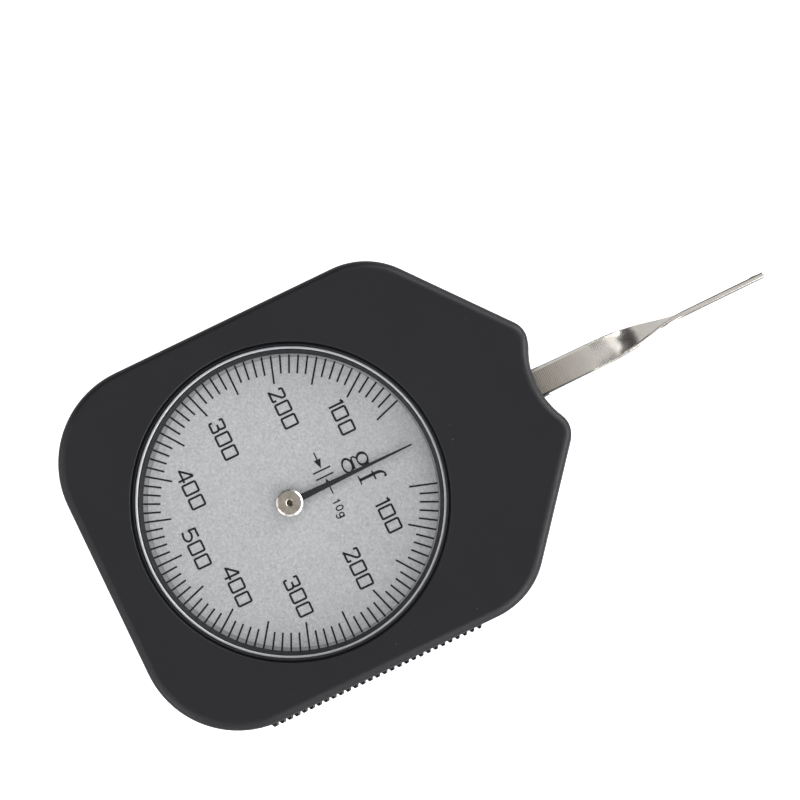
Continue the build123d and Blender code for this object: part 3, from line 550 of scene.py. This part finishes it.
def add_patch(bm, points):
    """A printed solid patch with straight sides."""
    top = [bm.verts.new((x * MM, y * MM, INK_Z1 * MM)) for x, y in points]
    low = [bm.verts.new((x * MM, y * MM, INK_Z0 * MM)) for x, y in points]
    n = len(points)
    bm.faces.new(top)
    bm.faces.new(list(reversed(low)))
    for i in range(n):
        bm.faces.new((top[i], low[i], low[(i + 1) % n], top[(i + 1) % n]))


def finish_mesh(bm, name, mat, body):
    bmesh.ops.recalc_face_normals(bm, faces=bm.faces)
    mesh = bpy.data.meshes.new(name)
    bm.to_mesh(mesh)
    bm.free()
    obj = bpy.data.objects.new(name, mesh)
    bpy.context.scene.collection.objects.link(obj)
    mesh.materials.append(mat)
    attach(obj, body)
    return obj


ink = mat_print()
GH = 2.63  # numeral, outer height
ZW = 2.07  # a nought's outer width
PEN = 0.355


def shift(points, dx, dy):
    return [(x + dx, y + dy) for x, y in points]


def digit(bm, ch, x, y):
    """One numeral; x, y is its lower left corner, and the points below are the middle of its strokes."""
    h, e = GH, PEN / 2

    def line(points, r=0.0, closed=False, n=4):
        add_stroke(bm, shift(rounded(points, r, closed, n) if r else points, x, y), PEN, closed)

    if ch == "0":
        line([(e, e), (ZW - e, e), (ZW - e, h - e), (e, h - e)], 0.24, True)
    elif ch == "1":
        line([(0.0, h - 0.38), (0.26, h - 0.30), (0.52, h - 0.10)])
        line([(0.565, h), (0.565, 0.0)])
    elif ch == "2":
        line([(0.25, h - 0.80), (0.25, h - e), (1.73, h - e), (1.73, h - 0.80), (0.24, 0.24)], 0.26)
        line([(0.0, 0.15), (0.4, e), (1.80, e), (1.80, 0.78)], 0.14)
    elif ch == "3":
        line([(0.19, h - 0.72), (0.19, h - e), (1.68, h - e), (1.68, h - 1.12), (1.40, h - 1.29), (0.74, h - 1.29)], 0.20)
        line([(1.30, h - 1.29), (1.77, h - 1.50), (1.77, e), (e, e), (e, 0.74)], 0.22)
    elif ch == "4":
        line([(1.60, h - 0.05), (0.16, 0.86)])
        line([(0.0, 0.81), (1.1, 0.81), (2.20, 0.81)])
        line([(1.69, h), (1.69, 0.0)])
    elif ch == "5":
        line([(1.70, h - e), (0.24, h - e), (0.15, h - 1.34)], 0.05)
        arch = arc(0.86, 0.82, 0.92, 0.72, 128, -40, 14)
        line([(0.13, h - 1.30)] + arch + arc(0.92, 0.80, 0.84, 0.64, -50, -118, 6) + [(0.28, 0.25), (0.06, 0.40)])


def numeral(bm, text, lefts, base):
    """A number: the outer left edge of each of its digits, and its outer bottom."""
    for ch, left in zip(text, lefts):
        digit(bm, ch, left, base)


# Where each number sits on the dial.
NUMBERS = [
    ("100", (-11.61, -10.58, -8.08), 12.26), ("200", (-17.65, -15.38, -12.96), 4.36),
    ("300", (-17.28, -15.02, -12.61), -6.56), ("400", (-12.51, -10.12, -7.69), -14.84),
    ("500", (-3.25, -1.06, 1.37), -18.15), ("400", (4.87, 7.25, 9.68), -14.86),
    ("300", (10.85, 13.08, 15.50), -6.65), ("200", (10.90, 13.19, 15.61), 4.10),
    ("100", (5.98, 7.04, 9.47), 12.20),
]

bm = bmesh.new()
for text, lefts, base in NUMBERS:
    numeral(bm, text, lefts, base)
numbers = finish_mesh(bm, "dial_numbers", ink, "case")

# graduations: 91 lines, 3.6 degrees apart, every fifth one long
bm = bmesh.new()
for i in range(91):
    a = math.radians(90 + 18 + 3.6 * i)
    r1 = 24.02
    r0 = 19.42 if i % 5 == 0 else 20.98
    c, s = math.cos(a), math.sin(a)
    w = 0.305
    pts = [(r0 * c, r0 * s), ((r0 + 0.05) * c, (r0 + 0.05) * s), (r1 * c, r1 * s)]
    add_stroke(bm, pts, w)
graduations = finish_mesh(bm, "dial_graduations", ink, "case")

# unit mark, and the sign for the value of one division
bm = bmesh.new()
thin = 0.22
for x in (-2.56, -1.43):
    add_stroke(bm, [(x, 5.34), (x, 6.9), (x, 8.45)], 0.26)
ya = 6.94
add_stroke(bm, [(-5.72, ya), (-5.0, ya), (-4.25, ya)], thin)
add_patch(bm, [(-4.39, ya + 0.60), (-4.39, ya - 0.60), (-2.88, ya)])
add_stroke(bm, [(0.3, ya), (1.0, ya), (1.68, ya)], thin)
add_patch(bm, [(0.37, ya - 0.60), (0.37, ya + 0.60), (-1.13, ya)])
# small "10g"
yb = 6.23
add_stroke(bm, [(2.76, yb + 0.92), (2.95, yb + 0.98), (3.08, yb + 1.16)], 0.19)
add_stroke(bm, [(3.11, yb + 1.30), (3.11, yb)], 0.23)
add_stroke(bm, arc(4.18, yb + 0.66, 0.36, 0.58, 0, 345, 23), 0.22, True)
add_stroke(bm, arc(5.30, yb + 0.50, 0.32, 0.37, 0, 345, 23), 0.21, True)
add_stroke(bm, [(5.66, yb + 0.94), (5.66, yb + 0.1)] + arc(5.30, yb - 0.06, 0.36, 0.34, 0, -150, 8), 0.22)
# larger "gf", with thick and thin strokes
gx, gy = -1.40, 13.62
bowl(bm, gx, gy, 0.98, 0.86, 0.24, 0.48)
ear = [(gx + 0.72, gy + 0.62), (gx + 1.0, gy + 0.62), (gx + 1.32, gy + 0.46)]
add_stroke(bm, ear, [0.2, 0.26, 0.34])
neck = [(gx - 0.50, gy - 0.82), (gx - 0.92, gy - 1.20), (gx - 0.92, gy - 1.56), (gx - 0.60, gy - 1.74)]
add_stroke(bm, rounded(neck, 0.2), 0.27)
add_stroke(bm, [(gx - 0.72, gy - 1.71), (gx + 0.2, gy - 1.76), (gx + 1.0, gy - 1.80)], [0.32, 0.35, 0.36])
bowl(bm, gx + 0.02, gy - 2.68, 1.17, 0.78, 0.25, 0.40)
fx, fy = 1.61, 11.72
stem = [(fx, fy), (fx, fy + 1.4), (fx, fy + 2.9)] + arc(fx + 1.0, fy + 3.09, 1.0, 1.20, 168, 100, 7)
add_stroke(bm, stem, [0.50, 0.50, 0.50, 0.49, 0.47, 0.43, 0.38, 0.34, 0.31, 0.29, 0.27])
add_stroke(bm, arc(fx + 0.98, fy + 4.16, 0.12, 0.12, 0, 330, 11), 0.22, True)
add_stroke(bm, [(fx - 0.66, fy + 2.42), (fx, fy + 2.45), (fx + 0.96, fy + 2.48)], [0.18, 0.32, 0.26])
add_stroke(bm, [(fx - 0.82, fy + 0.02), (fx, fy + 0.10), (fx + 0.78, fy + 0.02)], [0.15, 0.34, 0.15])
units = finish_mesh(bm, "dial_unit_marks", ink, "case")

# ================================================================ floor
bm = bmesh.new()
span, step = 4.0, 8
grid = [
    [bm.verts.new((-span + 2 * span * i / step, -span + 2 * span * j / step, -0.0004)) for i in range(step + 1)]
    for j in range(step + 1)
]
for j in range(step):
    for i in range(step):
        bm.faces.new((grid[j][i], grid[j][i + 1], grid[j + 1][i + 1], grid[j + 1][i]))
mesh = bpy.data.meshes.new("floor")
bm.to_mesh(mesh)
bm.free()
floor = bpy.data.objects.new("floor", mesh)
mesh.materials.append(mat_floor())
bpy.context.scene.collection.objects.link(floor)

# ================================================================ light
TARGET = Vector((-3.0 * MM, 14.0 * MM, 12.0 * MM))


def softbox(name, az, el, distance, width, height, radiance, color=(1.0, 1.0, 1.0)):
    """A rectangular soft light. az is measured in the picture, anticlockwise from its right edge; el above the floor."""
    data = bpy.data.lights.new(name, "AREA")
    data.shape = "RECTANGLE"
    data.size, data.size_y = width, height
    data.energy = radiance * math.pi * width * height
    data.color = color
    obj = bpy.data.objects.new(name, data)
    a, e = math.radians(az), math.radians(el)
    away = (IMG_RIGHT * math.cos(a) + IMG_UP * math.sin(a)) * math.cos(e) + Vector((0, 0, math.sin(e)))
    obj.location = TARGET + away * distance
    obj.rotation_mode = "QUATERNION"
    obj.rotation_quaternion = (-away).to_track_quat("-Z", "Y")
    obj.visible_camera = False
    bpy.context.scene.collection.objects.link(obj)
    return obj


LIGHTS = [
    # name, azimuth, elevation, distance, width, height, radiance
    ("box_zenith", 0, 89.9, 1, 0.5, 0.5, 0.72),
    ("box_top_n170", -170, 62, 1, 0.16, 0.16, 0.89),
    ("box_top_n125", -125, 62, 1, 0.16, 0.16, 2.01),
    ("box_top_n80", -80, 62, 1, 0.16, 0.16, 1.59),
    ("box_high_n180", -180, 48, 0.9, 0.5, 0.22, 2.51),
    ("box_high_n135", -135, 48, 0.9, 0.5, 0.22, 3.12),
    ("box_high_n90", -90, 48, 0.9, 0.5, 0.22, 0.74),
    ("box_high_n45", -45, 48, 0.9, 0.5, 0.22, 5.50),
    ("box_high_p0", 0, 48, 0.9, 0.5, 0.22, 0.65),
    ("box_high_p45", 45, 48, 0.9, 0.5, 0.22, 2.25),
    ("box_high_p100", 100, 50, 0.9, 0.8, 0.3, 1.20),
    ("box_fill_p105", 105, 68, 1, 0.5, 0.26, 0.62),
    ("box_high_p135", 135, 48, 0.9, 0.5, 0.22, 0.27),
    ("box_mid_n180", -180, 29, 0.9, 0.5, 0.22, 1.16),
    ("box_mid_n135", -135, 29, 0.9, 0.5, 0.22, 1.54),
    ("box_mid_n90", -90, 29, 0.9, 0.5, 0.22, 1.01),
    ("box_mid_n45", -45, 29, 0.9, 0.5, 0.22, 4.35),
    ("box_mid_p0", 0, 29, 0.9, 0.5, 0.22, 1.02),
    ("box_mid_p45", 45, 29, 0.9, 0.5, 0.22, 1.77),
    ("box_mid_p72", 72, 29, 0.9, 0.5, 0.22, 4.31),
    ("box_mid_p135", 135, 29, 0.9, 0.5, 0.22, 0.11),
    ("box_low_n180", -180, 11, 0.9, 0.6, 0.22, 2.81),
    ("box_low_n135", -135, 11, 0.9, 0.6, 0.22, 4.77),
    ("box_low_n90", -90, 11, 0.9, 0.6, 0.22, 1.97),
    ("box_low_n45", -45, 11, 0.9, 0.6, 0.22, 6.59),
    ("box_low_p0", 0, 11, 0.9, 0.6, 0.22, 9.79),
    ("box_low_p45", 45, 11, 0.9, 0.6, 0.22, 7.91),
]
for args in LIGHTS:
    softbox(*args)

world = bpy.data.worlds.new("studio")
bpy.context.scene.world = world
world.use_nodes = True
world.node_tree.nodes.clear()
k = Nodes(world.node_tree)
bg = k.new("ShaderNodeBackground")
bg.inputs["Color"].default_value = (1.0, 1.0, 1.0, 1.0)
seen = k.new("ShaderNodeLightPath")
k.link(k.grey(seen.outputs["Is Camera Ray"], 0.05, 0.92), bg.inputs["Strength"])
wo = k.new("ShaderNodeOutputWorld")
k.link(bg.outputs["Background"], wo.inputs["Surface"])

# ================================================================ camera
back = Vector((math.sin(CAM_TILT_X), math.sin(CAM_TILT_Y), 0.0))
back.z = math.sqrt(1.0 - back.x**2 - back.y**2)
roll = TURN + CAM_ROLL
right = Vector((math.sin(roll), math.cos(roll), 0.0))
right = (right - back * right.dot(back)).normalized()
up = back.cross(right)
cam_data = bpy.data.cameras.new("camera")
cam_data.sensor_width = 36.0
cam_data.lens = 36.0 * PX_PER_MM * CAM_DISTANCE / MM / IMAGE_PX
cam_data.clip_start, cam_data.clip_end = 0.01, 20.0
cam = bpy.data.objects.new("camera", cam_data)
cam.rotation_mode = "QUATERNION"
half_px = 0.5 / PX_PER_MM * MM
cam.location = CAM_TARGET + (up - right) * half_px + back * CAM_DISTANCE
cam.rotation_quaternion = Matrix((right, up, back)).transposed().to_quaternion()
bpy.context.scene.collection.objects.link(cam)
bpy.context.scene.camera = cam

bpy.context.scene.view_settings.view_transform = "Standard"
